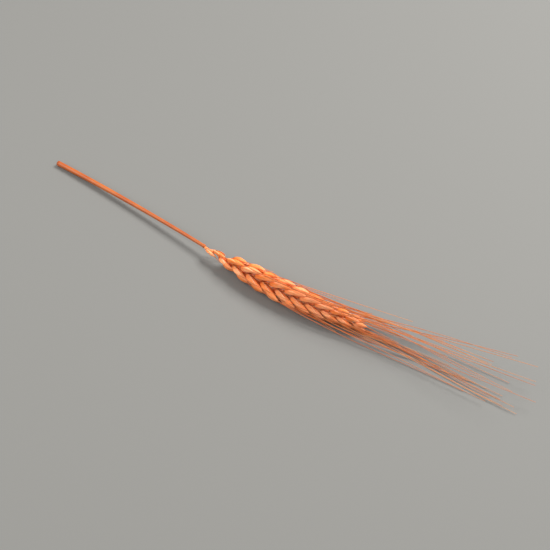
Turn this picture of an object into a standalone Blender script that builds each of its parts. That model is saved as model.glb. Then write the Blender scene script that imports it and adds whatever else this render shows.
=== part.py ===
# One bearded wheat ear, dried and dyed, lying on a surface as picked.
# Two pieces: the straw, and the ear, whose rachis, scales and awns grow together.
# Metres, +Z up. The ear lies along +X, and the surface it lies on is Z = 0.

import math
import random

import bmesh
import bpy
from mathutils import Matrix, Vector

MM = 0.001
UP = Vector((0, 0, 1))

# The straw, from its cut end to the ear
STRAW_LENGTH = 98 * MM
STRAW_CUT_RADIUS = 1.35 * MM
STRAW_NECK_RADIUS = 0.85 * MM
STRAW_SIDES = 12
STRAW_RINGS = 16
JOINT_GAP = 0.3 * MM

# The line that the straw and the rachis follow, by distance from the cut end
EAR_LENGTH = 88 * MM
HEADING_AT_CUT = -2.5
HEADING_AT_NECK = -7.0
HEADING_AT_TIP = 7.5
HEADING_OF_AWNS = 4.0
HEIGHTS = ((0, 1.28), (50, 2.9), (98, 4.75), (125, 5.5), (160, 5.1), (190, 4.2), (300, 5.2))
LINE_STEP = 0.5 * MM
LINE_END = 320 * MM
LINE_REACH = 2 * MM
ROLL = 49.0

# The rachis, a flattened stalk that bends to and fro from node to node
NODE_COUNT = 20
EMPTY_NODES = 2
FIRST_NODE = 2.6 * MM
PITCH_AT_BASE = 4.4 * MM
PITCH_AT_TIP = 3.8 * MM
RACHIS_WIDTH = 1.05 * MM
RACHIS_DEPTH = 0.8 * MM
RACHIS_ZIGZAG = 0.55 * MM
RACHIS_TAPER = 0.6
RACHIS_SIDES = 6

# The spikelets, one at each node, left and right by turns; angle and size go by the share of the ear
SPIKELET_ANGLES = ((0, 8), (0.08, 13), (0.3, 21.5), (0.6, 20.5), (1, 13))
SPIKELET_SIZES = ((0, 0.55), (0.05, 0.62), (0.11, 0.82), (0.3, 1), (0.6, 0.97), (1, 0.68))
SPIKELET_OFFSET = 0.55 * MM
LAST_SPIKELET_SETBACK = 1.0 * MM

# How far one spikelet or scale differs from the next, in degrees and as a share of its size
ANGLE_DRAW = 1.5
LEAN_DRAW = 1.8
MIDDLE_LEAN_DRAW = 4.0
SIZE_DRAW = (0.96, 1.05)

# Each scale: where it starts, how it leans and its size, all before the spikelet's own size
GLUME = {
    "start": -0.5 * MM,
    "apart": 1.35 * MM,
    "out": 0.1 * MM,
    "lean": 16.0,
    "length": 9.0 * MM,
    "width": 1.3 * MM,
    "depth": 0.85 * MM,
    "bulge": 0.6 * MM,
    "curl": 0.9 * MM,
}
SIDE_FLORET = {
    "start": 0.9 * MM,
    "apart": 0.8 * MM,
    "out": 0.0,
    "lean": 12.0,
    "length": 11.8 * MM,
    "width": 1.48 * MM,
    "depth": 1.45 * MM,
    "bulge": 0.55 * MM,
    "curl": 1.3 * MM,
}
MIDDLE_FLORET = {
    "start": 3.0 * MM,
    "apart": 0.0,
    "out": 1.3 * MM,
    "lean": 0.0,
    "length": 9.4 * MM,
    "width": 1.7 * MM,
    "depth": 1.3 * MM,
    "bulge": 0.2 * MM,
    "curl": 1.3 * MM,
}
BULGE_SPAN = 0.92
GLUME_RINGS = ((0.0, 0.52), (0.3, 1.0), (0.68, 0.88), (1.0, 0.12))
FLORET_RINGS = ((0.0, 0.40), (0.25, 0.92), (0.55, 1.0), (0.82, 0.62), (1.0, 0.18))
GLUME_SECTION = ((-1.0, 0.0), (-0.45, 0.72), (0.35, 1.0), (1.0, 0.0), (0.0, -0.45))
FLORET_SECTION = tuple((math.cos(math.radians(a)), math.sin(math.radians(a))) for a in range(0, 360, 60))

# The awns, one long bristle from the tip of each floret
AWN_ROOT_RADIUS = 0.36 * MM
AWN_TIP_RADIUS = 0.17 * MM
AWN_LENGTH_AT_BASE = 72 * MM
AWN_LENGTH_IN_MIDDLE = 96 * MM
AWN_LENGTH_AT_TIP = 86 * MM
AWN_LENGTH_DRAW = (0.86, 1.08)
MIDDLE_AWN_SHARE = 0.24
MIDDLE_AWN_DRAW = (0.8, 1.1)
EMPTY_AWN_SHARE = 0.07
AWN_SIDES = 3
AWN_RINGS = 4
AWN_RING_CROWDING = 1.5
AWN_AIM_FROM = 0.8
AWN_SUNK = 1.4 * MM
AWN_START_SLOPE = 0.26
LAST_AWN_START_SLOPE = 0.10
AWN_EASE = 5 * MM
AWN_SPREAD = (-0.02, 0.10)
AWN_TURN = 60.0
AWN_SWAY = 3.1 * MM
FLOOR_CLEARANCE = 0.36 * MM
FLOOR_SOFTNESS = 0.8 * MM
FLOOR_EASE = 3 * MM

BLOCK_DEPTH = 10 * MM
MERGE_DISTANCE = 0.0005 * MM
SEED = 20

# Dyed a warm orange all through; the straw is smoother and yellower than the chaff
CHAFF_COLOUR = (0.80, 0.27, 0.09)
CHAFF_ROUGHNESS = 0.7
STRAW_COLOUR = (0.78, 0.30, 0.08)
STRAW_ROUGHNESS = 0.5


def lerp(a, b, t):
    return a + (b - a) * t


def smooth(t):
    t = min(1.0, max(0.0, t))
    return t * t * (3 - 2 * t)


def through(keys, x):
    """A smooth curve through (x, y) keys, level with its neighbours' slope at each key."""
    last = len(keys) - 1
    i = next((k for k in range(last) if x < keys[k + 1][0]), last - 1)
    x0, y0 = keys[i]
    x1, y1 = keys[i + 1]
    before = keys[max(0, i - 1)]
    after = keys[min(last, i + 2)]
    slope0 = (y1 - before[1]) / (x1 - before[0])
    slope1 = (after[1] - y0) / (after[0] - x0)
    t = min(1.0, max(0.0, (x - x0) / (x1 - x0)))
    span = x1 - x0
    return (
        (2 * t**3 - 3 * t**2 + 1) * y0
        + (t**3 - 2 * t**2 + t) * span * slope0
        + (3 * t**2 - 2 * t**3) * y1
        + (t**3 - t**2) * span * slope1
    )


def heading(s):
    """The line's direction in plan, in radians from +X."""
    if s < STRAW_LENGTH:
        return math.radians(lerp(HEADING_AT_CUT, HEADING_AT_NECK, s / STRAW_LENGTH))
    along_ear = (s - STRAW_LENGTH) / EAR_LENGTH
    if along_ear < 1:
        return math.radians(lerp(HEADING_AT_NECK, HEADING_AT_TIP, smooth(along_ear)))
    beyond = smooth((along_ear - 1) * 2)
    return math.radians(lerp(HEADING_AT_TIP, HEADING_OF_AWNS, beyond))


def walk_line():
    """Points of the line at every LINE_STEP, starting at the cut end."""
    points = []
    x = y = 0.0
    for k in range(int(LINE_END / LINE_STEP) + 1):
        s = k * LINE_STEP
        points.append(Vector((x, y, through(HEIGHTS, s / MM) * MM)))
        x += math.cos(heading(s)) * LINE_STEP
        y += math.sin(heading(s)) * LINE_STEP
    return points


LINE = walk_line()


def line_point(s):
    k = min(len(LINE) - 2, max(0, int(s / LINE_STEP)))
    return LINE[k].lerp(LINE[k + 1], s / LINE_STEP - k)


def line_frame(s):
    """Along the line, across the two rows of spikelets, and out of the ear's face."""
    along = (line_point(s + LINE_REACH) - line_point(s - LINE_REACH)).normalized()
    level = UP.cross(along).normalized()
    above = along.cross(level)
    roll = math.radians(ROLL)
    rows = level * math.cos(roll) + above * math.sin(roll)
    face = above * math.cos(roll) - level * math.sin(roll)
    return along, rows, face


def node_distance(i):
    """Distance of rachis node i from the cut end."""
    s = STRAW_LENGTH + FIRST_NODE
    for k in range(i):
        s += lerp(PITCH_AT_BASE, PITCH_AT_TIP, k / (NODE_COUNT - 1))
    return s


def awn_length(i):
    t = i / (NODE_COUNT - 1)
    if t < 0.5:
        return lerp(AWN_LENGTH_AT_BASE, AWN_LENGTH_IN_MIDDLE, smooth(t * 2))
    return lerp(AWN_LENGTH_IN_MIDDLE, AWN_LENGTH_AT_TIP, smooth(t * 2 - 1))


def tilt(direction, towards, degrees):
    a = math.radians(degrees)
    return (direction * math.cos(a) + towards * math.sin(a)).normalized()


def place_scale(kind, spec, origin, axis, outward, fan, fan_side, size, draw):
    """One scale's own frame: it leans from the spikelet's axis towards its side of the fan."""
    lean = spec["lean"] + draw.uniform(-LEAN_DRAW, LEAN_DRAW)
    along = tilt(axis, fan * fan_side, lean)
    base = origin + axis * spec["start"] * size
    base += fan * fan_side * spec["apart"] * size
    base += outward * spec["out"] * size
    away = fan * fan_side if fan_side else outward
    normal = (away - along * away.dot(along)).normalized()
    if kind == "floret" and not fan_side:
        along = tilt(axis, fan, draw.uniform(-MIDDLE_LEAN_DRAW, MIDDLE_LEAN_DRAW))
    return {
        "kind": kind,
        "spec": spec,
        "base": base,
        "along": along,
        "normal": normal,
        "inward": -(outward - along * outward.dot(along)).normalized(),
        "size": size * draw.uniform(*SIZE_DRAW),
    }


def spikelet(i, draw):
    """The scales of spikelet i. The last one closes the ear, turned a quarter way round."""
    s = node_distance(i)
    along, rows, face = line_frame(s)
    side = -1 if i % 2 == 0 else 1
    share_of_ear = min(1.0, i / (NODE_COUNT - 1))
    size = through(SPIKELET_SIZES, share_of_ear)
    if i == NODE_COUNT:
        axis, outward, fan = along, face, rows
        origin = line_point(s - LAST_SPIKELET_SETBACK)
    else:
        angle = through(SPIKELET_ANGLES, share_of_ear)
        axis = tilt(along, rows * side, angle + draw.uniform(-ANGLE_DRAW, ANGLE_DRAW))
        outward = tilt(rows * side, along, -angle)
        fan = face
        origin = line_point(s) + rows * side * SPIKELET_OFFSET
    first = 1 if (i // 2) % 2 == 0 else -1
    scales = []
    for fan_side in (first, -first):
        scales.append(place_scale("glume", GLUME, origin, axis, outward, fan, fan_side, size, draw))
    for fan_side in (first, -first):
        if i < EMPTY_NODES and fan_side == -first:
            continue
        scales.append(place_scale("floret", SIDE_FLORET, origin, axis, outward, fan, fan_side, size, draw))
    if i >= EMPTY_NODES:
        scales.append(place_scale("floret", MIDDLE_FLORET, origin, axis, outward, fan, 0, size, draw))
    return scales


def scale_spine(scale, t):
    """A point on the scale's middle line, which bulges outwards and comes back in at the tip."""
    spec, size = scale["spec"], scale["size"]
    bulge = scale["normal"] * spec["bulge"] * math.sin(math.pi * BULGE_SPAN * t)
    curl = scale["inward"] * spec["curl"] * t * t
    return scale["base"] + (scale["along"] * spec["length"] * t + bulge + curl) * size


def loft(name, rings):
    """A closed solid through rings of points, with a flat face at each end."""
    mesh = bmesh.new()
    loops = [[mesh.verts.new(p) for p in ring] for ring in rings]
    sides = len(rings[0])
    for lower, upper in zip(loops, loops[1:]):
        for k in range(sides):
            n = (k + 1) % sides
            mesh.faces.new((lower[k], lower[n], upper[n], upper[k]))
    mesh.faces.new(list(reversed(loops[0])))
    mesh.faces.new(loops[-1])
    bmesh.ops.recalc_face_normals(mesh, faces=mesh.faces)
    data = bpy.data.meshes.new(name)
    mesh.to_mesh(data)
    mesh.free()
    return bpy.data.objects.new(name, data)


def make_scale(name, scale):
    rings_of, section = (
        (GLUME_RINGS, GLUME_SECTION) if scale["kind"] == "glume" else (FLORET_RINGS, FLORET_SECTION)
    )
    spec, size = scale["spec"], scale["size"]
    across = scale["along"].cross(scale["normal"])
    if scale["kind"] == "glume" and across.dot(scale["inward"]) > 0:
        across.negate()  # the keel runs along the outer half of both glumes
    rings = []
    for t, share in rings_of:
        centre = scale_spine(scale, t)
        width = spec["width"] * size * share
        depth = spec["depth"] * size * share
        rings.append([centre + across * width * u + scale["normal"] * depth * v for u, v in section])
    return loft(name, rings)


def awn_path(root, start_slope, s, length, steps, draw):
    """Points of an awn that leaves a floret's tip, then follows the ear's line at a small spread."""
    along, rows, face = line_frame(s)
    offset = root - line_point(s)
    s += offset.dot(along)
    along, rows, face = line_frame(s)
    offset = root - line_point(s)
    reach = math.hypot(offset.dot(rows), offset.dot(face))
    start_turn = math.atan2(offset.dot(face), offset.dot(rows))
    turn = math.radians(draw.uniform(-AWN_TURN, AWN_TURN))
    spread = draw.uniform(*AWN_SPREAD)
    sway_size = draw.uniform(-AWN_SWAY, AWN_SWAY)
    sway_turn = draw.uniform(0, 2 * math.pi)
    points = []
    for k in range(steps + 1):
        share = (k / steps) ** AWN_RING_CROWDING
        u = length * share
        along, rows, face = line_frame(s + u)
        out = reach + spread * u + (start_slope - spread) * AWN_EASE * (1 - math.exp(-u / AWN_EASE))
        angle = start_turn + turn * smooth(share)
        sway = sway_size * share**2
        p = line_point(s + u)
        p += rows * (out * math.cos(angle) + sway * math.cos(sway_turn))
        p += face * (out * math.sin(angle) + sway * math.sin(sway_turn))
        height = p.z - FLOOR_CLEARANCE
        lift = 0.5 * (math.hypot(height, FLOOR_SOFTNESS) - height)
        p.z += lift * smooth(u / FLOOR_EASE)
        points.append(p)
    return points


def make_awn(name, points):
    """A tapering bristle with one edge along its top."""
    rings = []
    for k, p in enumerate(points):
        share = k / (len(points) - 1)
        before = points[max(0, k - 1)]
        after = points[min(len(points) - 1, k + 1)]
        along = (after - before).normalized()
        side = along.cross(UP).normalized()
        above = side.cross(along)
        radius = lerp(AWN_ROOT_RADIUS, AWN_TIP_RADIUS, share)
        corners = [math.pi / 2 + 2 * math.pi * c / AWN_SIDES for c in range(AWN_SIDES)]
        rings.append([p + (side * math.cos(a) + above * math.sin(a)) * radius for a in corners])
    return loft(name, rings)


def awns_of(i, scales, draw):
    """Paths of the awns of spikelet i, one from each floret."""
    paths = []
    for scale in scales:
        if scale["kind"] != "floret":
            continue
        length = awn_length(min(i, NODE_COUNT - 1)) * draw.uniform(*AWN_LENGTH_DRAW)
        if i < EMPTY_NODES:
            length *= EMPTY_AWN_SHARE * (1 + i)
        elif scale["spec"] is MIDDLE_FLORET:
            length *= MIDDLE_AWN_SHARE * draw.uniform(*MIDDLE_AWN_DRAW)
        tip = scale_spine(scale, 1.0)
        root = tip + (scale_spine(scale, AWN_AIM_FROM) - tip).normalized() * AWN_SUNK
        slope = AWN_START_SLOPE if i < NODE_COUNT else LAST_AWN_START_SLOPE
        paths.append(awn_path(root, slope, node_distance(i), length, AWN_RINGS, draw))
    return paths


def make_rachis():
    """The stalk inside the ear, wider at each node and bent from side to side."""
    rings = []
    for i in range(-1, NODE_COUNT + 1):
        s = node_distance(i) if i >= 0 else STRAW_LENGTH + JOINT_GAP
        along, rows, face = line_frame(s)
        side = -1 if i % 2 == 0 else 1
        shift = RACHIS_ZIGZAG * side if i >= 0 else 0.0
        centre = line_point(s) + rows * shift
        fade = lerp(1.0, RACHIS_TAPER, max(0, i) / NODE_COUNT)
        across = RACHIS_WIDTH * fade if i >= 0 else STRAW_NECK_RADIUS
        deep = RACHIS_DEPTH * fade if i >= 0 else STRAW_NECK_RADIUS
        corners = [2 * math.pi * c / RACHIS_SIDES for c in range(RACHIS_SIDES)]
        rings.append([centre + face * across * math.cos(a) + rows * deep * math.sin(a) for a in corners])
    return loft("rachis", rings)


def make_straw():
    """The round stalk below the ear, as far as its cut end."""
    rings = []
    for k in range(STRAW_RINGS + 1):
        share = k / STRAW_RINGS
        s = STRAW_LENGTH * share
        along, rows, face = line_frame(s)
        radius = lerp(STRAW_CUT_RADIUS, STRAW_NECK_RADIUS, share)
        corners = [2 * math.pi * c / STRAW_SIDES for c in range(STRAW_SIDES)]
        rings.append([line_point(s) + (rows * math.cos(a) + face * math.sin(a)) * radius for a in corners])
    straw = loft("straw", rings)
    bpy.context.scene.collection.objects.link(straw)
    return straw


def join_all(base, others, operation):
    """One Boolean of base with every object in others, applied; the others are then removed."""
    group = bpy.data.collections.new("to_join")
    bpy.context.scene.collection.children.link(group)
    for other in others:
        group.objects.link(other)
    step = base.modifiers.new("join", "BOOLEAN")
    step.operation = operation
    step.operand_type = "COLLECTION"
    step.collection = group
    step.solver = "MANIFOLD"
    bpy.context.view_layer.update()
    shape = bpy.data.meshes.new_from_object(base.evaluated_get(bpy.context.evaluated_depsgraph_get()))
    base.modifiers.clear()
    base.data = shape
    for other in list(group.objects):
        bpy.data.objects.remove(other)
    bpy.data.collections.remove(group)


def clean_joins(obj):
    """Merges points that a join left almost at one place, and keeps the outer shell alone.

    The walls of the tiny hollows that joining seals inside go, which fills them.
    """
    mesh = bmesh.new()
    mesh.from_mesh(obj.data)
    bmesh.ops.remove_doubles(mesh, verts=mesh.verts, dist=MERGE_DISTANCE)
    left = set(mesh.verts)
    shells = []
    while left:
        shell = reached = {left.pop()}
        while reached:
            reached = {edge.other_vert(v) for v in reached for edge in v.link_edges} - shell
            shell = shell | reached
        left -= shell
        shells.append(shell)
    outer = max(shells, key=len)
    bmesh.ops.delete(mesh, geom=[v for v in mesh.verts if v not in outer], context="VERTS")
    mesh.to_mesh(obj.data)
    mesh.free()


def make_ear():
    """The rachis with every scale and awn grown onto it, as one solid."""
    draw = random.Random(SEED)
    scales = []
    awns = []
    for i in range(NODE_COUNT + 1):
        grown = spikelet(i, draw)
        scales += [make_scale(f"scale_{i}_{k}", s) for k, s in enumerate(grown)]
        awns += [make_awn(f"awn_{i}_{k}", p) for k, p in enumerate(awns_of(i, grown, draw))]
    ear = make_rachis()
    ear.name = "ear"
    bpy.context.scene.collection.objects.link(ear)
    join_all(ear, scales + awns, "UNION")
    clean_joins(ear)
    return ear


def rest_on_surface(obj):
    """Flattens what would reach below the surface, so that the piece rests on small flats at Z = 0."""
    square = [(LINE_END * x, LINE_END * y) for x, y in ((-1, -1), (1, -1), (1, 1), (-1, 1))]
    below = loft("below_surface", [[Vector((x, y, z)) for x, y in square] for z in (-BLOCK_DEPTH, 0)])
    join_all(obj, [below], "DIFFERENCE")


def centre_footprint(objects):
    """Puts the origin on the surface, under the middle of the whole part."""
    points = [v.co for obj in objects for v in obj.data.vertices]
    middle = Vector((0, 0, 0))
    for a in range(2):
        middle[a] = (min(p[a] for p in points) + max(p[a] for p in points)) / 2
    for obj in objects:
        obj.data.transform(Matrix.Translation(-middle))


def paint(obj, name, colour, roughness):
    material = bpy.data.materials.new(name)
    material.use_nodes = True
    shader = material.node_tree.nodes["Principled BSDF"]
    shader.inputs["Base Color"].default_value = (*colour, 1)
    shader.inputs["Roughness"].default_value = roughness
    obj.data.materials.clear()
    obj.data.materials.append(material)


def main():
    for obj in list(bpy.data.objects):
        bpy.data.objects.remove(obj)
    ear = make_ear()
    straw = make_straw()
    for obj in (ear, straw):
        rest_on_surface(obj)
    centre_footprint((ear, straw))
    paint(ear, "dyed_chaff", CHAFF_COLOUR, CHAFF_ROUGHNESS)
    paint(straw, "dyed_straw", STRAW_COLOUR, STRAW_ROUGHNESS)


main()
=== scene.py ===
import math
import random

import bmesh
import bpy
from mathutils import Matrix, Vector


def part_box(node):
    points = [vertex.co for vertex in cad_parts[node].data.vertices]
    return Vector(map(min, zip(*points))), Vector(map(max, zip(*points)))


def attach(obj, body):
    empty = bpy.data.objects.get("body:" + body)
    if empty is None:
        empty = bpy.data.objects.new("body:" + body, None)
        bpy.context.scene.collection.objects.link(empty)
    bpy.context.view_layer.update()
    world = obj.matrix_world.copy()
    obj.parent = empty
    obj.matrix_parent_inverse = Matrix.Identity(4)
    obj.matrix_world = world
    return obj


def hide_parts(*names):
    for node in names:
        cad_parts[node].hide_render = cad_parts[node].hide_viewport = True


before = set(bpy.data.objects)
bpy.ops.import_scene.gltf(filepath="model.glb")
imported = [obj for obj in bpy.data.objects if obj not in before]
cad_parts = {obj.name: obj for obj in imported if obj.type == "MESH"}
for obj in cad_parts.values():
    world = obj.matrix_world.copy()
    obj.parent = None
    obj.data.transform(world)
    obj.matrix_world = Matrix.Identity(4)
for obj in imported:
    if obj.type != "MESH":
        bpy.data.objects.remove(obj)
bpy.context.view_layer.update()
bpy.ops.object.select_all(action="DESELECT")
print("frame loaded:", sorted(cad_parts))

mm = 0.001
up = Vector((0, 0, 1))
seed = 20


def lerp(a, b, t):
    return a + (b - a) * t


def smooth(t):
    t = min(1.0, max(0.0, t))
    return t * t * (3 - 2 * t)


def through(keys, x):  # a smooth curve through (x, y) keys
    last = len(keys) - 1
    i = next((k for k in range(last) if x < keys[k + 1][0]), last - 1)
    x0, y0 = keys[i]
    x1, y1 = keys[i + 1]
    before = keys[max(0, i - 1)]
    after = keys[min(last, i + 2)]
    span = x1 - x0
    slope0 = (y1 - before[1]) / (x1 - before[0])
    slope1 = (after[1] - y0) / (after[0] - x0)
    t = min(1.0, max(0.0, (x - x0) / span))
    rise = (t**3 - 2 * t**2 + t) * slope0 + (t**3 - t**2) * slope1
    return lerp(y0, y1, smooth(t)) + rise * span


# The line that straw and rachis follow, by distance from the cut end
course = {
    "strawLength": 98 * mm,
    "earLength": 88 * mm,
    "headingAtCut": -2.5,  # degrees from +X, in plan
    "headingAtNeck": -7.0,
    "headingAtTip": 7.5,
    "headingOfAwns": 4.0,
    "turnsWithin": 0.5,  # lengths of the ear that the awns need to reach their heading
    "heights": ((0, 1.28), (50, 2.9), (98, 4.75), (125, 5.5), (160, 5.1), (190, 4.2), (300, 5.2)),
    "step": 0.5 * mm,
    "end": 320 * mm,
    "reach": 2 * mm,  # how far each side the direction is measured
    "roll": 49.0,  # degrees that the ear's face leans back
}


def headingAt(s):
    atCut, atNeck, atTip = course["headingAtCut"], course["headingAtNeck"], course["headingAtTip"]
    if s < course["strawLength"]:
        return math.radians(lerp(atCut, atNeck, s / course["strawLength"]))
    alongEar = (s - course["strawLength"]) / course["earLength"]
    if alongEar < 1:
        return math.radians(lerp(atNeck, atTip, smooth(alongEar)))
    beyond = smooth((alongEar - 1) / course["turnsWithin"])
    return math.radians(lerp(atTip, course["headingOfAwns"], beyond))


def walkLine():
    points = []
    x = y = 0.0
    for k in range(int(course["end"] / course["step"]) + 1):
        s = k * course["step"]
        points.append(Vector((x, y, through(course["heights"], s / mm) * mm)))
        x += math.cos(headingAt(s)) * course["step"]
        y += math.sin(headingAt(s)) * course["step"]
    return points


linePoints = walkLine()


def linePoint(s):
    k = min(len(linePoints) - 2, max(0, int(s / course["step"])))
    return linePoints[k].lerp(linePoints[k + 1], s / course["step"] - k)


def lineFrame(s):  # along the line, across the two rows, and out of the ear's face
    along = (linePoint(s + course["reach"]) - linePoint(s - course["reach"])).normalized()
    level = up.cross(along).normalized()
    above = along.cross(level)
    roll = math.radians(course["roll"])
    rows = level * math.cos(roll) + above * math.sin(roll)
    face = above * math.cos(roll) - level * math.sin(roll)
    return along, rows, face


# The straw: a thin ribbed tube, cut off square and hollow at its lower end
strawShape = {
    "cutRadius": 1.35 * mm,
    "neckRadius": 0.85 * mm,
    "solidSides": 12,  # of the straw's solid, whose box places the line
    "solidRings": 16,
    "sides": 64,
    "rings": 70,
    "ribs": 16,
    "ribHeight": 0.03 * mm,
    "rim": 0.06,  # shares of the radius: the cut's edge, the wall with it, and the floor of the hollow
    "wall": 0.42,
    "hollowFloor": 0.3,
    "hollowDepth": 7 * mm,
}


def strawRing(s, sides):
    along, rows, face = lineFrame(s)
    radius = lerp(strawShape["cutRadius"], strawShape["neckRadius"], s / course["strawLength"])
    turns = [2 * math.pi * k / sides for k in range(sides)]
    return [linePoint(s) + (rows * math.cos(a) + face * math.sin(a)) * radius for a in turns]


def placeLine():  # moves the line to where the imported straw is
    rings = strawShape["solidRings"]
    stations = [course["strawLength"] * k / rings for k in range(rings + 1)]
    corners = [p for s in stations for p in strawRing(s, strawShape["solidSides"])]
    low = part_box("straw")[0]
    shift = Vector((low.x - min(p.x for p in corners), low.y - min(p.y for p in corners), 0))
    for p in linePoints:
        p += shift


placeLine()

# The spikelets, one at each node of the rachis, left and right by turns
spikelets = {
    "count": 20,
    "empty": 2,
    "firstNode": 2.6 * mm,
    "pitchAtBase": 4.4 * mm,
    "pitchAtTip": 3.8 * mm,
    "angles": ((0, 8), (0.08, 13), (0.3, 21.5), (0.6, 20.5), (1, 13)),  # by share of the ear
    "sizes": ((0, 0.55), (0.05, 0.62), (0.11, 0.82), (0.3, 1), (0.6, 0.97), (1, 0.68)),
    "offset": 0.55 * mm,
    "lastSetback": 1.0 * mm,
    "angleDraw": 1.5,
    "leanDraw": 1.8,
    "middleLeanDraw": 4.0,
    "sizeDraw": (0.96, 1.05),
    "bulgeSpan": 0.92,
}
glume = {
    "start": -0.5 * mm,
    "apart": 1.35 * mm,
    "out": 0.1 * mm,
    "lean": 16.0,
    "length": 9.0 * mm,
    "width": 1.3 * mm,
    "depth": 0.85 * mm,
    "bulge": 0.6 * mm,
    "curl": 0.9 * mm,
    "outline": ((0.0, 0.50), (0.25, 0.93), (0.52, 1.0), (0.82, 0.62), (1.0, 0.10)),
}
sideFloret = {
    "start": 0.9 * mm,
    "apart": 0.8 * mm,
    "out": 0.0,
    "lean": 12.0,
    "length": 11.8 * mm,
    "width": 1.48 * mm,
    "depth": 1.45 * mm,
    "bulge": 0.55 * mm,
    "curl": 1.3 * mm,
    "outline": ((0.0, 0.40), (0.25, 0.92), (0.55, 1.0), (0.82, 0.62), (1.0, 0.18)),
}
middleFloret = {
    "start": 3.0 * mm,
    "apart": 0.0,
    "out": 1.3 * mm,
    "lean": 0.0,
    "length": 9.4 * mm,
    "width": 1.7 * mm,
    "depth": 1.3 * mm,
    "bulge": 0.2 * mm,
    "curl": 1.3 * mm,
    "outline": ((0.0, 0.42), (0.22, 0.93), (0.52, 1.0), (0.82, 0.60), (1.0, 0.18)),
}


def nodeDistance(i):
    s = course["strawLength"] + spikelets["firstNode"]
    for k in range(i):
        s += lerp(spikelets["pitchAtBase"], spikelets["pitchAtTip"], k / (spikelets["count"] - 1))
    return s


def tilt(direction, towards, degrees):
    a = math.radians(degrees)
    return (direction * math.cos(a) + towards * math.sin(a)).normalized()


def placeHusk(kind, spec, origin, axis, outward, fan, fanSide, size, draw):
    lean = spec["lean"] + draw.uniform(-spikelets["leanDraw"], spikelets["leanDraw"])
    along = tilt(axis, fan * fanSide, lean)
    base = origin + axis * spec["start"] * size
    base += fan * fanSide * spec["apart"] * size
    base += outward * spec["out"] * size
    away = fan * fanSide if fanSide else outward
    normal = (away - along * away.dot(along)).normalized()
    if kind == "floret" and not fanSide:
        along = tilt(axis, fan, draw.uniform(-spikelets["middleLeanDraw"], spikelets["middleLeanDraw"]))
    return {
        "kind": kind,
        "spec": spec,
        "base": base,
        "along": along,
        "normal": normal,
        "keelSide": 1 if along.cross(normal).dot(outward) > 0 else -1,
        "inward": -(outward - along * outward.dot(along)).normalized(),
        "size": size * draw.uniform(*spikelets["sizeDraw"]),
    }


def growSpikelet(i, draw):
    s = nodeDistance(i)
    along, rows, face = lineFrame(s)
    side = -1 if i % 2 == 0 else 1
    shareOfEar = min(1.0, i / (spikelets["count"] - 1))
    size = through(spikelets["sizes"], shareOfEar)
    if i == spikelets["count"]:  # the last one closes the ear, turned a quarter way round
        axis, outward, fan = along, face, rows
        origin = linePoint(s - spikelets["lastSetback"])
    else:
        angle = through(spikelets["angles"], shareOfEar)
        turned = angle + draw.uniform(-spikelets["angleDraw"], spikelets["angleDraw"])
        axis = tilt(along, rows * side, turned)
        outward = tilt(rows * side, along, -angle)
        fan = face
        origin = linePoint(s) + rows * side * spikelets["offset"]
    first = 1 if (i // 2) % 2 == 0 else -1
    husks = []
    for fanSide in (first, -first):
        husks.append(placeHusk("glume", glume, origin, axis, outward, fan, fanSide, size, draw))
    for fanSide in (first, -first):
        if i < spikelets["empty"] and fanSide == -first:
            continue
        husks.append(placeHusk("floret", sideFloret, origin, axis, outward, fan, fanSide, size, draw))
    if i >= spikelets["empty"]:
        husks.append(placeHusk("floret", middleFloret, origin, axis, outward, fan, 0, size, draw))
    return husks


def huskSpine(husk, t):
    spec = husk["spec"]
    bulge = husk["normal"] * spec["bulge"] * math.sin(math.pi * spikelets["bulgeSpan"] * t)
    curl = husk["inward"] * spec["curl"] * t * t
    return husk["base"] + (husk["along"] * spec["length"] * t + bulge + curl) * husk["size"]


# The awns, one long bristle from the tip of each floret
awnShape = {
    "rootRadius": 0.26 * mm,
    "tipRadius": 0.09 * mm,
    "taper": 0.8,  # below 1 it thins faster near the root
    "lengthAtBase": 72 * mm,
    "lengthInMiddle": 96 * mm,
    "lengthAtTip": 86 * mm,
    "lengthDraw": (0.86, 1.08),
    "middleShare": 0.24,
    "middleDraw": (0.8, 1.1),
    "emptyShare": 0.07,
    "aimFrom": 0.8,  # share of the husk's length that its awn goes on from
    "sunk": 1.4 * mm,
    "startSlope": 0.26,
    "lastStartSlope": 0.10,
    "ease": 5 * mm,
    "spread": (-0.02, 0.10),
    "turn": 60.0,
    "sway": 3.1 * mm,
    "crowding": 1.5,
    "floorClearance": 0.36 * mm,
    "floorSoftness": 0.8 * mm,
    "floorEase": 3 * mm,
    "points": 34,
    "barbSpacing": 1.3 * mm,
    "barbLength": 0.42 * mm,
    "barbRadius": 0.05 * mm,
    "barbFoot": 0.08 * mm,  # from the awn's middle
    "barbLean": 24.0,
}


def awnLength(i):
    t = i / (spikelets["count"] - 1)
    if t < 0.5:
        return lerp(awnShape["lengthAtBase"], awnShape["lengthInMiddle"], smooth(t * 2))
    return lerp(awnShape["lengthInMiddle"], awnShape["lengthAtTip"], smooth(t * 2 - 1))


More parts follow.
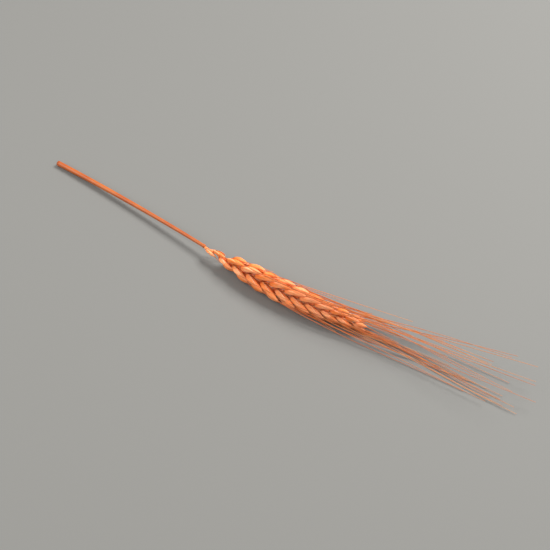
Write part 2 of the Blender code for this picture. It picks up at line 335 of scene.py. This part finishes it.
def awnPath(root, startSlope, s, length, draw):
    s += (root - linePoint(s)).dot(lineFrame(s)[0])
    along, rows, face = lineFrame(s)
    offset = root - linePoint(s)
    reach = math.hypot(offset.dot(rows), offset.dot(face))
    startTurn = math.atan2(offset.dot(face), offset.dot(rows))
    turn = math.radians(draw.uniform(-awnShape["turn"], awnShape["turn"]))
    spread = draw.uniform(*awnShape["spread"])
    swaySize = draw.uniform(-awnShape["sway"], awnShape["sway"])
    swayTurn = draw.uniform(0, 2 * math.pi)
    points = []
    for k in range(awnShape["points"] + 1):
        share = (k / awnShape["points"]) ** awnShape["crowding"]
        u = length * share
        along, rows, face = lineFrame(s + u)
        eased = awnShape["ease"] * (1 - math.exp(-u / awnShape["ease"]))
        out = reach + spread * u + (startSlope - spread) * eased
        angle = startTurn + turn * smooth(share)
        sway = swaySize * share**2
        p = linePoint(s + u)
        p += rows * (out * math.cos(angle) + sway * math.cos(swayTurn))
        p += face * (out * math.sin(angle) + sway * math.sin(swayTurn))
        height = p.z - awnShape["floorClearance"]
        lift = 0.5 * (math.hypot(height, awnShape["floorSoftness"]) - height)
        p.z += lift * smooth(u / awnShape["floorEase"])
        points.append(p)
    return points


def growAwns(i, husks, draw):
    paths = []
    for husk in husks:
        if husk["kind"] != "floret":
            continue
        length = awnLength(min(i, spikelets["count"] - 1)) * draw.uniform(*awnShape["lengthDraw"])
        if i < spikelets["empty"]:
            length *= awnShape["emptyShare"] * (1 + i)
        elif husk["spec"] is middleFloret:
            length *= awnShape["middleShare"] * draw.uniform(*awnShape["middleDraw"])
        tip = huskSpine(husk, 1.0)
        root = tip + (huskSpine(husk, awnShape["aimFrom"]) - tip).normalized() * awnShape["sunk"]
        slope = awnShape["startSlope"] if i < spikelets["count"] else awnShape["lastStartSlope"]
        paths.append(awnPath(root, slope, nodeDistance(i), length, draw))
    return paths


def growEar():
    draw = random.Random(seed)
    husks = []
    awns = []
    for i in range(spikelets["count"] + 1):
        grown = growSpikelet(i, draw)
        husks += grown
        awns += growAwns(i, grown, draw)
    return husks, awns


husks, awns = growEar()
print("ear laid out:", len(husks), "husks and", len(awns), "awns")


# Modelling helpers, for the mesh in edit mode
near = 0.001  # how close a vertex lies to the ring or column it is picked with


def pickVerts(test):
    bpy.ops.mesh.select_mode(type="VERT")
    bpy.ops.mesh.select_all(action="DESELECT")
    mesh = bmesh.from_edit_mesh(bpy.context.object.data)
    for vert in mesh.verts:
        if test(vert.co):
            vert.select_set(True)
    mesh.select_flush(True)
    bmesh.update_edit_mesh(bpy.context.object.data)


def pickFaces(test):
    bpy.ops.mesh.select_mode(type="FACE")
    bpy.ops.mesh.select_all(action="DESELECT")
    mesh = bmesh.from_edit_mesh(bpy.context.object.data)
    for face in mesh.faces:
        if test(face):
            face.select_set(True)
    mesh.select_flush(True)
    bmesh.update_edit_mesh(bpy.context.object.data)


def cutRings(places):  # one ring of edges round the mesh at each height
    for z in places:
        bpy.ops.mesh.select_all(action="SELECT")
        bpy.ops.mesh.bisect(plane_co=(0, 0, z), plane_no=(0, 0, 1))


def finish(obj, **modifiers):  # leaves edit mode, then adds and applies modifiers in the order given
    bpy.ops.object.mode_set(mode="OBJECT")
    for kind, settings in modifiers.items():
        modifier = obj.modifiers.new(kind, kind.upper())
        for name, value in settings.items():
            setattr(modifier, name, value)
        bpy.ops.object.modifier_apply(modifier=modifier.name)
    bpy.ops.object.shade_smooth()
    return obj


def startTube(name, sides, ends):  # a tube of radius 1 from z = 0 to z = 1
    bpy.ops.mesh.primitive_cylinder_add(
        vertices=sides, radius=1, depth=1, end_fill_type=ends, location=(0, 0, 0.5)
    )
    tube = bpy.context.object
    tube.name = name
    bpy.ops.object.transform_apply(location=True)
    bpy.ops.object.mode_set(mode="EDIT")
    return tube


def turnOf(p):  # angle round a husk from the middle of its back, 0 to pi
    return abs(math.atan2(p.x, p.y))


floretLook = {
    "sides": 18,
    "rings": (0.05, 0.13, 0.24, 0.37, 0.51, 0.64, 0.76, 0.86, 0.94),
    "husk": 122.0,  # degrees each way that the outer husk wraps
    "step": 0.2 * mm,  # how far the inner husk is set in
    "stepSpan": (0.04, 0.93),  # share of the length over which it is set in
    "margin": 0.3,  # radians, of the papery edge
}


def modelFloret(name, spec):
    floret = startTube(name, floretLook["sides"], "TRIFAN")
    cutRings(floretLook["rings"])
    for z in (0, *floretLook["rings"], 1):
        share = through(spec["outline"], z)
        pickVerts(lambda p: abs(p.z - z) < near)
        size = (spec["width"] * share, spec["depth"] * share, 1)
        bpy.ops.transform.resize(value=size, center_override=(0, 0, z))
    bpy.ops.mesh.select_all(action="SELECT")
    bpy.ops.transform.resize(value=(1, 1, spec["length"]), center_override=(0, 0, 0))
    inner = math.radians(floretLook["husk"])
    low, high = (share * spec["length"] for share in floretLook["stepSpan"])

    def onInside(face):
        centre = face.calc_center_median()
        return turnOf(centre) > inner and low < centre.z < high

    pickFaces(onInside)
    bpy.ops.mesh.extrude_region_shrink_fatten(TRANSFORM_OT_shrink_fatten={"value": -floretLook["step"]})
    return finish(floret, Subsurf={"levels": 1, "render_levels": 1})


glumeLook = {
    "columns": 10,
    "rows": 11,
    "section": (  # across the glume, with its keel off the middle
        (-1, 0),
        (-0.8, 0.45),
        (-0.4, 0.76),
        (0, 0.82),
        (0.2, 0.92),
        (0.4, 1.18),
        (0.6, 0.84),
        (0.8, 0.48),
        (1, 0),
    ),
    "leastShare": 0.05,  # of the width, so that the tip can be measured across
    "beak": 0.07,
    "beakSize": (0.25, 0.5, 1),
    "thickness": 0.17 * mm,
    "margin": 0.3,  # share of the half width, of the papery edge
}


def modelGlume(name, spec):
    bpy.ops.mesh.primitive_grid_add(
        x_subdivisions=glumeLook["columns"],
        y_subdivisions=glumeLook["rows"],
        size=1,
        location=(0, 0, 0.5),
        rotation=(-math.pi / 2, 0, 0),
    )
    shell = bpy.context.object
    shell.name = name
    bpy.ops.object.transform_apply(location=True, rotation=True)
    bpy.ops.object.mode_set(mode="EDIT")
    columns = sorted({round(v.co.x, 4) for v in bmesh.from_edit_mesh(shell.data).verts})
    rows = sorted({round(v.co.z, 4) for v in bmesh.from_edit_mesh(shell.data).verts})
    for x in columns:
        pickVerts(lambda p: abs(p.x - x) < near)
        bpy.ops.transform.translate(value=(0, through(glumeLook["section"], -2 * x), 0))
    for z in rows:
        share = through(spec["outline"], z)
        pickVerts(lambda p: abs(p.z - z) < near)
        size = (2 * spec["width"] * share, spec["depth"] * share, 1)
        bpy.ops.transform.resize(value=size, center_override=(0, 0, z))
    pickVerts(lambda p: p.z > 1 - near)
    bpy.ops.mesh.extrude_region_move(TRANSFORM_OT_translate={"value": (0, 0, glumeLook["beak"])})
    bpy.ops.transform.resize(value=glumeLook["beakSize"])
    bpy.ops.mesh.select_all(action="SELECT")
    bpy.ops.transform.resize(value=(1, 1, spec["length"]), center_override=(0, 0, 0))
    return finish(
        shell,
        Solidify={"thickness": glumeLook["thickness"], "offset": -1},
        Subsurf={"levels": 1, "render_levels": 1},
    )


def halfWidth(spec, t):  # of a glume
    return spec["width"] * max(glumeLook["leastShare"], through(spec["outline"], t))


def unroll(mesh, spec, kind):  # u across the husk from its one edge to the other, v from base to tip
    layer = mesh.uv_layers.active or mesh.uv_layers.new(name="UVMap")
    for face in mesh.polygons:
        for k in face.loop_indices:
            p = mesh.vertices[mesh.loops[k].vertex_index].co
            t = p.z / spec["length"]
            if kind == "floret":
                u = 0.5 + math.atan2(p.x, p.y) / (2 * math.pi)
                if face.center.y < 0 and face.center.x < 0 and abs(p.x) < 1e-7:
                    u = 0.0  # the seam, seen from its left
            else:
                u = 0.5 + 0.5 * p.x / halfWidth(spec, t)
            layer.data[k].uv = (u, t)


def marginOf(p, spec, kind):  # 1 on a husk's papery edge, 0 away from it
    if kind == "floret":
        away = abs(turnOf(p) - math.radians(floretLook["husk"])) / floretLook["margin"]
    else:
        away = (1 - abs(p.x) / halfWidth(spec, p.z / spec["length"])) / glumeLook["margin"]
    return 1 - smooth(away)


def markMargin(mesh, spec, kind):
    addNumber(mesh, "margin", [marginOf(v.co, spec, kind) for v in mesh.vertices])


def bendHusk(master, husk, name, tint):  # a copy with its own mesh, bent along the husk's spine
    copy = bpy.data.objects.new(name, master.data.copy())
    bpy.context.scene.collection.objects.link(copy)
    side = husk["normal"].cross(husk["along"])
    mirror = husk["keelSide"] if husk["kind"] == "glume" else 1
    for vert in copy.data.vertices:
        x, y, z = vert.co
        x *= mirror
        spine = huskSpine(husk, z / husk["spec"]["length"])
        vert.co = spine + (side * x + husk["normal"] * y) * husk["size"]
        vert.co.z = max(0, vert.co.z)  # flat where it lies on the surface
    if mirror < 0:
        copy.data.flip_normals()
    addNumber(copy.data, "tint", [tint] * len(copy.data.vertices))
    return copy


def addNumber(mesh, name, values):
    layer = mesh.attributes.get(name) or mesh.attributes.new(name, "FLOAT", "POINT")
    layer.data.foreach_set("value", values)


def joinAll(name, parts):
    bpy.ops.object.select_all(action="DESELECT")
    for part in parts:
        part.select_set(True)
    bpy.context.view_layer.objects.active = parts[0]
    bpy.ops.object.join()
    joined = bpy.context.object
    joined.name = joined.data.name = name
    joined.select_set(False)
    return joined


def dress(piece, material, slot, *nodes):
    piece.data.materials.clear()
    piece.data.materials.append(material)
    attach(piece, "root")
    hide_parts(*nodes)


tints = random.Random(seed + 1)


def makeHusks(name, master, chosen):
    parts = [bendHusk(master, husk, f"{name}{k}", tints.random()) for k, husk in enumerate(chosen)]
    made = joinAll(name, parts)
    bpy.data.objects.remove(master)
    print(name, "made:", len(chosen))
    return made


def makeFlorets(name, spec):
    master = modelFloret(name + "Master", spec)
    unroll(master.data, spec, "floret")
    markMargin(master.data, spec, "floret")
    return makeHusks(name, master, [h for h in husks if h["spec"] is spec])


def makeGlumes():
    master = modelGlume("glumeMaster", glume)
    unroll(master.data, glume, "glume")
    markMargin(master.data, glume, "glume")
    return makeHusks("glumes", master, [h for h in husks if h["spec"] is glume])


def makeAwn(k, points):
    curve = bpy.data.curves.new(f"awn{k}", "CURVE")
    curve.dimensions = "3D"
    curve.bevel_depth = 1
    curve.bevel_resolution = 1
    curve.use_fill_caps = True
    spline = curve.splines.new("POLY")
    spline.points.add(len(points) - 1)
    for n, p in enumerate(points):
        thinned = (n / (len(points) - 1)) ** awnShape["taper"]
        spline.points[n].co = (*p, 1)
        spline.points[n].radius = lerp(awnShape["rootRadius"], awnShape["tipRadius"], thinned)
    awn = bpy.data.objects.new(f"awn{k}", curve)
    bpy.context.scene.collection.objects.link(awn)
    bpy.ops.object.select_all(action="DESELECT")
    awn.select_set(True)
    bpy.context.view_layer.objects.active = awn
    bpy.ops.object.convert(target="MESH")
    bpy.ops.object.shade_smooth()
    awn = bpy.context.object
    for vert in awn.data.vertices:
        vert.co.z = max(0, vert.co.z)
    start, end = points[0], points[-1]
    run = end - start
    shares = [max(0.0, min(1.0, (v.co - start).dot(run) / run.length_squared)) for v in awn.data.vertices]
    addNumber(awn.data, "share", shares)
    addNumber(awn.data, "tint", [tints.random()] * len(shares))
    return awn


def makeAwns():
    made = joinAll("awns", [makeAwn(k, points) for k, points in enumerate(awns)])
    print("awns made:", len(awns))
    return made


def scatter(name, master, places):  # one mesh with a copy of the master at each matrix
    verts = []
    faces = []
    for place in places:
        first = len(verts)
        verts += [place @ v.co for v in master.data.vertices]
        faces += [[first + n for n in face.vertices] for face in master.data.polygons]
    mesh = bpy.data.meshes.new(name)
    mesh.from_pydata(verts, [], faces)
    made = bpy.data.objects.new(name, mesh)
    bpy.context.scene.collection.objects.link(made)
    bpy.data.objects.remove(master)
    return made


def makeSpine(name, radius, length):  # a three-sided spine along +Z, its foot at the origin
    bpy.ops.mesh.primitive_cone_add(
        vertices=3, radius1=radius, depth=length, end_fill_type="TRIFAN", location=(0, 0, length / 2)
    )
    spine = bpy.context.object
    spine.name = name
    bpy.ops.object.transform_apply(location=True)
    spine.select_set(False)
    return spine


def standAt(point, direction):
    return Matrix.Translation(point) @ direction.to_track_quat("Z", "Y").to_matrix().to_4x4()


def makeBarbs():
    draw = random.Random(seed + 2)
    places = []
    for points in awns:
        for p, q in zip(points[1:], points[2:]):
            run = q - p
            count = int(run.length / awnShape["barbSpacing"] + draw.random())
            direction = run.normalized()
            side = direction.cross(up).normalized()
            for n in range(count):
                turn = draw.uniform(0, 2 * math.pi)
                outward = side * math.cos(turn) + direction.cross(side) * math.sin(turn)
                foot = p.lerp(q, (n + draw.random()) / count) + outward * awnShape["barbFoot"]
                if foot.z > awnShape["floorClearance"] + awnShape["barbLength"]:
                    places.append(standAt(foot, tilt(direction, outward, awnShape["barbLean"])))
    spine = makeSpine("barbMaster", awnShape["barbRadius"], awnShape["barbLength"])
    made = scatter("awnBarbs", spine, places)
    print("awn barbs made:", len(places))
    return made


# The rachis: flat internodes that bend to and fro, each swelling to a hairy callus under its spikelet
rachisShape = {
    "width": 1.05 * mm,
    "depth": 0.8 * mm,
    "zigzag": 0.55 * mm,
    "taper": 0.6,
    "sides": 14,
    "rings": (0.25, 0.5, 0.7, 0.84, 0.93),
    "waist": ((0.0, 0.72), (0.5, 0.70), (0.84, 0.98), (0.93, 1.08), (1.0, 0.86)),
    "rootedIn": 0.4 * mm,  # how far the first internode starts inside the straw
    "overlap": 1.04,  # so that each internode ends inside the next
    "hairs": 34,  # on each internode
    "hairSpan": (0.8, 0.98),  # share of the internode
    "hairFoot": 0.9,  # share of the radius
    "hairLean": (20, 50),
    "hairLength": 0.9 * mm,
    "hairRadius": 0.035 * mm,
}


def rachisCentre(i):
    if i < 0:
        return linePoint(course["strawLength"] - rachisShape["rootedIn"])
    side = -1 if i % 2 == 0 else 1
    return linePoint(nodeDistance(i)) + lineFrame(nodeDistance(i))[1] * rachisShape["zigzag"] * side


def makeRachis():
    draw = random.Random(seed + 3)
    master = startTube("internodeMaster", rachisShape["sides"], "TRIFAN")
    cutRings(rachisShape["rings"])
    for z in (0, *rachisShape["rings"], 1):
        share = through(rachisShape["waist"], z)
        pickVerts(lambda p: abs(p.z - z) < near)
        bpy.ops.transform.resize(value=(share, share, 1), center_override=(0, 0, z))
    finish(master, Subsurf={"levels": 1, "render_levels": 1})
    parts = []
    hairs = []
    for i in range(spikelets["count"] + 1):
        part = bpy.data.objects.new(f"internode{i}", master.data.copy())
        bpy.context.scene.collection.objects.link(part)
        start, end = rachisCentre(i - 1), rachisCentre(i)
        along, rows, face = lineFrame(nodeDistance(i))
        fade = lerp(1.0, rachisShape["taper"], i / spikelets["count"])
        across, deep = face * rachisShape["width"], rows * rachisShape["depth"]
        for vert in part.data.vertices:
            x, y, z = vert.co
            vert.co = start.lerp(end, z * rachisShape["overlap"]) + (across * x + deep * y) * fade
        part.data.flip_normals()
        addNumber(part.data, "tint", [tints.random()] * len(part.data.vertices))
        parts.append(part)
        for n in range(rachisShape["hairs"]):
            turn = draw.uniform(0, 2 * math.pi)
            outward = across * math.cos(turn) + deep * math.sin(turn)
            foot = start.lerp(end, draw.uniform(*rachisShape["hairSpan"]))
            foot += outward * fade * rachisShape["hairFoot"]
            lean = draw.uniform(*rachisShape["hairLean"])
            hairs.append(standAt(foot, tilt(along, outward.normalized(), lean)))
    made = joinAll("rachis", parts)
    bpy.data.objects.remove(master)
    spine = makeSpine("hairMaster", rachisShape["hairRadius"], rachisShape["hairLength"])
    tufts = scatter("rachisHairs", spine, hairs)
    print("rachis made:", len(parts), "internodes and", len(hairs), "hairs")
    return made, tufts


def makeStraw():
    straw = startTube("cutStraw", strawShape["sides"], "NGON")
    cutRings([k / strawShape["rings"] for k in range(1, strawShape["rings"])])
    pickFaces(lambda face: face.normal.z < -0.9)
    bpy.ops.mesh.inset(thickness=strawShape["rim"])
    bpy.ops.mesh.inset(thickness=strawShape["wall"] - strawShape["rim"])
    bpy.ops.mesh.extrude_region_move(
        TRANSFORM_OT_translate={"value": (0, 0, strawShape["hollowDepth"] / course["strawLength"])}
    )
    bpy.ops.mesh.inset(thickness=strawShape["hollowFloor"])
    finish(straw)
    for vert in straw.data.vertices:
        x, y, z = vert.co
        s = z * course["strawLength"]
        along, rows, face = lineFrame(s)
        radius = lerp(strawShape["cutRadius"], strawShape["neckRadius"], z)
        if math.hypot(x, y) > 0.99:  # on the skin
            groove = 0.5 - 0.5 * math.cos(strawShape["ribs"] * math.atan2(y, x))
            radius -= strawShape["ribHeight"] * groove
        vert.co = linePoint(s) + (rows * x + face * y) * radius
        vert.co.z = max(0, vert.co.z)
    print("straw made")
    return straw


collarShape = {
    "start": 97.1 * mm,
    "end": 99.0 * mm,
    "sunk": 0.98,  # share of the straw's radius at its two ends
    "swell": 0.16 * mm,
    "sides": 40,
    "rings": (0.15, 0.35, 0.5, 0.65, 0.85),
}


def makeCollar():  # the little ring where the straw meets the ear
    collar = startTube("neckCollar", collarShape["sides"], "NGON")
    cutRings(collarShape["rings"])
    finish(collar)
    for vert in collar.data.vertices:
        x, y, z = vert.co
        s = lerp(collarShape["start"], collarShape["end"], z)
        along, rows, face = lineFrame(s)
        radius = strawShape["neckRadius"] * collarShape["sunk"]
        radius += collarShape["swell"] * math.sin(math.pi * z) ** 2
        vert.co = linePoint(s) + (rows * x + face * y) * radius
    print("collar made")
    return collar


# Materials
def hexColour(text):  # sRGB hex to linear
    channels = [int(text[k : k + 2], 16) / 255 for k in (1, 3, 5)]
    return (*[c / 12.92 if c <= 0.04045 else ((c + 0.055) / 1.055) ** 2.4 for c in channels], 1)


def addNode(tree, kind, inputs=None, **settings):
    node = tree.nodes.new("ShaderNode" + kind)
    for name, value in settings.items():
        setattr(node, name, value)
    for name, value in (inputs or {}).items():
        if isinstance(value, bpy.types.NodeSocket):
            tree.links.new(value, node.inputs[name])
        else:
            node.inputs[name].default_value = value
    return node


def newMaterial(name):
    material = bpy.data.materials.new(name)
    material.use_nodes = True
    return material, material.node_tree, material.node_tree.nodes["Principled BSDF"]


chaffFinish = {
    "deep": "#EA6420",
    "body": "#F7843C",
    "pale": "#FFA672",
    "rampSteps": (0.25, 0.58, 1.0),  # where deep, body and pale stand on the scale of the next four
    "blotches": (0.8, -0.15),  # how much the dye's blotches count, and the level that they start from
    "byHusk": 0.35,
    "byFibre": 0.35,
    "byTip": 0.25,
    "blotch": 5 * mm,
    "fibresAcross": 70,  # round a floret, 0.13 mm each, and finer across a glume
    "fibresAlong": 5,
    # painted shade, partly pooled dye: a dark red-brown laid over the base of each husk, where it lies
    # deep in the ear's folds
    "foldShadeAndDye": "#842804",
    "foldShadeShare": 0.92,
    "foldShadeReach": 0.22,  # share of a husk's length, from its base, that gets the painted shade of the ear's folds
    "margin": "#FFDCB8",
    "marginShare": 0.8,
    "nerves": 7,
    "nerveShare": 0.5,
    "nerveHeight": 0.08 * mm,
    "nerveStrength": 0.8,
    "roughness": 0.62,
    "sheen": 0.25,
    "through": 0.12,  # light that goes through the papery wall
    "throughReach": (1.0, 0.35, 0.12),
    "throughScale": 0.8 * mm,
}


def makeChaffMaterial():  # dry papery husk, dip-dyed: matt, paler where it is thin, with painted shade (partly pooled dye) at the husk bases deep in the folds
    material, tree, shader = newMaterial("dipDyedWheatChaff")
    look = chaffFinish
    coords = addNode(tree, "TexCoord")
    split = addNode(tree, "SeparateXYZ", {"Vector": coords.outputs["UV"]})
    across, along = split.outputs["X"], split.outputs["Y"]
    turn = addNode(tree, "Math", {0: across, 1: 2 * math.pi * look["nerves"]}, operation="MULTIPLY")
    nerve = addNode(tree, "Math", {0: turn.outputs[0]}, operation="COSINE")
    stretch = (look["fibresAcross"], look["fibresAlong"], 1)
    stretched = addNode(tree, "Mapping", {"Vector": coords.outputs["UV"], "Scale": stretch})
    fibres = addNode(tree, "TexNoise", {"Vector": stretched.outputs[0], "Scale": 1.0, "Detail": 3.0})
    fibre = fibres.outputs["Fac"]
    blotches = addNode(
        tree,
        "TexNoise",
        {"Vector": coords.outputs["Object"], "Scale": 1 / look["blotch"], "Detail": 2.0},
    )
    tint = addNode(tree, "Attribute", attribute_name="tint")
    size, level = look["blotches"]
    mixed = addNode(
        tree,
        "Math",
        {0: blotches.outputs["Fac"], 1: size, 2: level},
        operation="MULTIPLY_ADD",
    )
    tinted = addNode(
        tree,
        "Math",
        {0: tint.outputs["Fac"], 1: look["byHusk"], 2: mixed.outputs[0]},
        operation="MULTIPLY_ADD",
    )
    fibred = addNode(
        tree,
        "Math",
        {0: fibre, 1: look["byFibre"], 2: tinted.outputs[0]},
        operation="MULTIPLY_ADD",
    )
    paler = addNode(
        tree,
        "Math",
        {0: along, 1: look["byTip"], 2: fibred.outputs[0]},
        operation="MULTIPLY_ADD",
    )
    ramp = addNode(tree, "ValToRGB", {"Fac": paler.outputs[0]})
    atDeep, atBody, atPale = look["rampSteps"]
    steps = ramp.color_ramp.elements
    steps[0].position = atDeep
    steps[0].color = hexColour(look["deep"])
    steps[1].position = atPale
    steps[1].color = hexColour(look["pale"])
    steps.new(atBody).color = hexColour(look["body"])
    margin = addNode(tree, "Attribute", attribute_name="margin")
    papery = addNode(
        tree,
        "Math",
        {0: margin.outputs["Fac"], 1: look["marginShare"]},
        operation="MULTIPLY",
    )
    edged = addNode(
        tree,
        "Mix",
        {0: papery.outputs[0], 6: ramp.outputs["Color"], 7: hexColour(look["margin"])},
        data_type="RGBA",
    )
    # painted shade: strongest at the husk's base and fading out a little way up, standing in for the
    # shadow in the ear's folds
    foldShadeMask = addNode(
        tree,
        "MapRange",
        {"Value": along, "From Max": look["foldShadeReach"], "To Min": look["foldShadeShare"], "To Max": 0.0},
    )
    shaded = addNode(
        tree,
        "Mix",
        {0: foldShadeMask.outputs[0], 6: edged.outputs[2], 7: hexColour(look["foldShadeAndDye"])},
        data_type="RGBA",
    )
    tree.links.new(shaded.outputs[2], shader.inputs["Base Color"])
    height = addNode(
        tree,
        "Math",
        {0: nerve.outputs[0], 1: look["nerveShare"], 2: fibre},
        operation="MULTIPLY_ADD",
    )
    bump = addNode(
        tree,
        "Bump",
        {
            "Height": height.outputs[0],
            "Distance": look["nerveHeight"],
            "Strength": look["nerveStrength"],
        },
    )
    tree.links.new(bump.outputs["Normal"], shader.inputs["Normal"])
    shader.inputs["Roughness"].default_value = look["roughness"]
    shader.inputs["Specular IOR Level"].default_value = look["sheen"]
    shader.inputs["Subsurface Weight"].default_value = look["through"]
    shader.inputs["Subsurface Radius"].default_value = look["throughReach"]
    shader.inputs["Subsurface Scale"].default_value = look["throughScale"]
    return material


awnFinish = {
    "root": "#C87034",
    "tip": "#CC8C56",
    "deep": "#B04C18",
    "byAwn": 0.6,  # how deep the deepest awn is
    "roughness": 0.5,
    "through": 0.3,
    "throughReach": (1.0, 0.4, 0.15),
    "throughScale": 0.4 * mm,
}


def makeAwnMaterial():  # dry bristle with a silica skin: slightly glossy, palest at its thin end
    material, tree, shader = newMaterial("dipDyedAwn")
    look = awnFinish
    share = addNode(tree, "Attribute", attribute_name="share")
    tint = addNode(tree, "Attribute", attribute_name="tint")
    along = addNode(
        tree,
        "Mix",
        {0: share.outputs["Fac"], 6: hexColour(look["root"]), 7: hexColour(look["tip"])},
        data_type="RGBA",
    )
    deeper = addNode(tree, "Math", {0: tint.outputs["Fac"], 1: look["byAwn"]}, operation="MULTIPLY")
    mixed = addNode(
        tree,
        "Mix",
        {0: deeper.outputs[0], 6: along.outputs[2], 7: hexColour(look["deep"])},
        data_type="RGBA",
    )
    tree.links.new(mixed.outputs[2], shader.inputs["Base Color"])
    shader.inputs["Roughness"].default_value = look["roughness"]
    shader.inputs["Subsurface Weight"].default_value = look["through"]
    shader.inputs["Subsurface Radius"].default_value = look["throughReach"]
    shader.inputs["Subsurface Scale"].default_value = look["throughScale"]
    return material


strawFinish = {
    "deep": "#A6440A",
    "pale": "#C86E2A",
    "rampSteps": (0.3, 0.75),
    "fibre": 0.12 * mm,
    "fibreRun": 9 * mm,
    "fibreTurn": 5.0,  # degrees in plan, the straw's mean heading
    "fibreShare": 0.5,
    "fibreHeight": 0.03 * mm,
    "fibreStrength": 0.6,
    "blotchScale": 90.0,  # one in 11 mm
    "blotches": (0.6, -0.05),
    "roughness": 0.42,
}


def makeStrawMaterial():  # ripe straw, dip-dyed: smooth waxy skin with fine lengthwise fibres
    material, tree, shader = newMaterial("dipDyedStraw")
    look = strawFinish
    coords = addNode(tree, "TexCoord")
    fine = 1 / look["fibre"]
    stretched = addNode(
        tree,
        "Mapping",
        {
            "Vector": coords.outputs["Object"],
            "Scale": (1 / look["fibreRun"], fine, fine),
            "Rotation": (0, 0, math.radians(look["fibreTurn"])),
        },
    )
    fibres = addNode(tree, "TexNoise", {"Vector": stretched.outputs[0], "Scale": 1.0, "Detail": 2.0})
    blotches = addNode(
        tree,
        "TexNoise",
        {"Vector": coords.outputs["Object"], "Scale": look["blotchScale"], "Detail": 2.0},
    )
    size, level = look["blotches"]
    blotched = addNode(
        tree,
        "Math",
        {0: blotches.outputs["Fac"], 1: size, 2: level},
        operation="MULTIPLY_ADD",
    )
    mixed = addNode(
        tree,
        "Math",
        {0: fibres.outputs["Fac"], 1: look["fibreShare"], 2: blotched.outputs[0]},
        operation="MULTIPLY_ADD",
    )
    ramp = addNode(tree, "ValToRGB", {"Fac": mixed.outputs[0]})
    steps = ramp.color_ramp.elements
    for step, at, colour in zip(steps, look["rampSteps"], (look["deep"], look["pale"])):
        step.position = at
        step.color = hexColour(colour)
    tree.links.new(ramp.outputs["Color"], shader.inputs["Base Color"])
    bump = addNode(
        tree,
        "Bump",
        {
            "Height": fibres.outputs["Fac"],
            "Distance": look["fibreHeight"],
            "Strength": look["fibreStrength"],
        },
    )
    tree.links.new(bump.outputs["Normal"], shader.inputs["Normal"])
    shader.inputs["Roughness"].default_value = look["roughness"]
    return material


chaff = makeChaffMaterial()
bristle = makeAwnMaterial()
stalk = makeStrawMaterial()

rachis, tufts = makeRachis()
dress(makeGlumes(), chaff, "dyed_chaff", "ear")
dress(makeFlorets("sideFlorets", sideFloret), chaff, "dyed_chaff", "ear")
dress(makeFlorets("middleFlorets", middleFloret), chaff, "dyed_chaff", "ear")
dress(rachis, chaff, "dyed_chaff", "ear")
dress(tufts, bristle, "dyed_chaff", "ear")
dress(makeAwns(), bristle, "dyed_chaff", "ear")
dress(makeBarbs(), bristle, "dyed_chaff", "ear")
dress(makeStraw(), stalk, "dyed_straw", "straw")
dress(makeCollar(), stalk, "dyed_straw", "straw")

# Floor, light and camera
studio = {
    "floor": "#787773",
    "floorSize": 6,
    "floorGrain": 900.0,  # grains in a metre
    "grainHeight": 0.05 * mm,
    "grainStrength": 0.2,
    "floorRoughness": 0.8,
    "world": 0.5,
    "azimuth": 33.0,
    "elevation": 50.0,
    "distance": 0.62,
    "lens": 85,
    "nearest": 0.01,  # m that the camera sees from
    "target": (0.0, -0.001, 0.004),
    "key": {"place": (0.35, 0.75, 0.95), "size": 0.55, "power": 22.0},
    "fill": {"place": (-0.7, -0.5, 0.8), "size": 0.9, "power": 9.0},
}


def makeFloor():
    bpy.ops.mesh.primitive_plane_add(size=studio["floorSize"])
    floor = bpy.context.object
    floor.name = "paleFloor"
    material, tree, shader = newMaterial("mattPaperSweep")
    coords = addNode(tree, "TexCoord")
    grain = addNode(
        tree,
        "TexNoise",
        {"Vector": coords.outputs["Object"], "Scale": studio["floorGrain"], "Detail": 2.0},
    )
    bump = addNode(
        tree,
        "Bump",
        {
            "Height": grain.outputs["Fac"],
            "Distance": studio["grainHeight"],
            "Strength": studio["grainStrength"],
        },
    )
    tree.links.new(bump.outputs["Normal"], shader.inputs["Normal"])
    shader.inputs["Base Color"].default_value = hexColour(studio["floor"])
    shader.inputs["Roughness"].default_value = studio["floorRoughness"]
    floor.data.materials.append(material)


def aimAt(obj, target):
    obj.rotation_euler = (Vector(target) - obj.location).to_track_quat("-Z", "Y").to_euler()


def makeLight(name, settings):
    bpy.ops.object.light_add(type="AREA", location=settings["place"])
    light = bpy.context.object
    light.name = name
    light.data.size = settings["size"]
    light.data.energy = settings["power"]
    aimAt(light, studio["target"])


def makeCamera():
    azimuth, elevation = math.radians(studio["azimuth"]), math.radians(studio["elevation"])
    out = math.cos(elevation)
    away = Vector((math.sin(azimuth) * out, -math.cos(azimuth) * out, math.sin(elevation)))
    bpy.ops.object.camera_add(location=Vector(studio["target"]) + away * studio["distance"])
    camera = bpy.context.object
    camera.data.lens = studio["lens"]
    camera.data.clip_start = studio["nearest"]
    aimAt(camera, studio["target"])
    bpy.context.scene.camera = camera


def makeWorld():
    world = bpy.data.worlds.new("softStudio")
    world.use_nodes = True
    world.node_tree.nodes["Background"].inputs["Color"].default_value = (1, 1, 1, 1)
    world.node_tree.nodes["Background"].inputs["Strength"].default_value = studio["world"]
    bpy.context.scene.world = world


makeFloor()
makeLight("keyLight", studio["key"])
makeLight("fillLight", studio["fill"])
makeWorld()
makeCamera()
bpy.context.scene.view_settings.view_transform = "Standard"
print("studio made")
